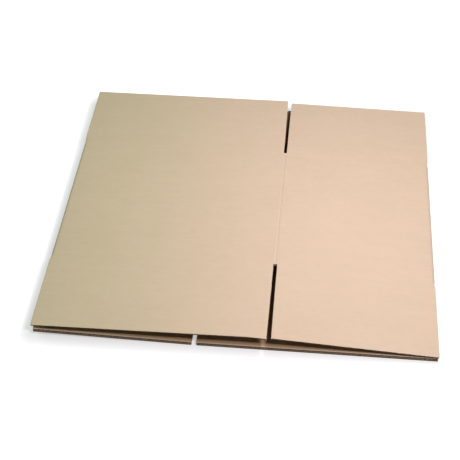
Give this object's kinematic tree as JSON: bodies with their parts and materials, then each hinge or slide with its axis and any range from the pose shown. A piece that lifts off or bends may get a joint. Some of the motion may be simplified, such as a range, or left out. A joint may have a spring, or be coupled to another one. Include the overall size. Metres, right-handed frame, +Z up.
{
  "type": "flattened cardboard box",
  "caption": "Knocked-down slotted shipping carton: one folded sheet of kraft corrugated board, glued into a tube, that squares up into a box with flaps at both ends.",
  "frame": {"origin": "centre of the box's bounding box, on the floor that the lower long panel lies on", "axes": "+X across the panels from the left fold to the right fold, +Y along the flutes and the tube, +Z up from the floor"},
  "size_m": [0.7636, 0.641, 0.0452],
  "materials": {
    "kraft_board": "matt brown kraft paper over corrugated board"
  },
  "bodies": {
    "root": {"folded_box": "kraft_board"}
  },
  "joints": []
}
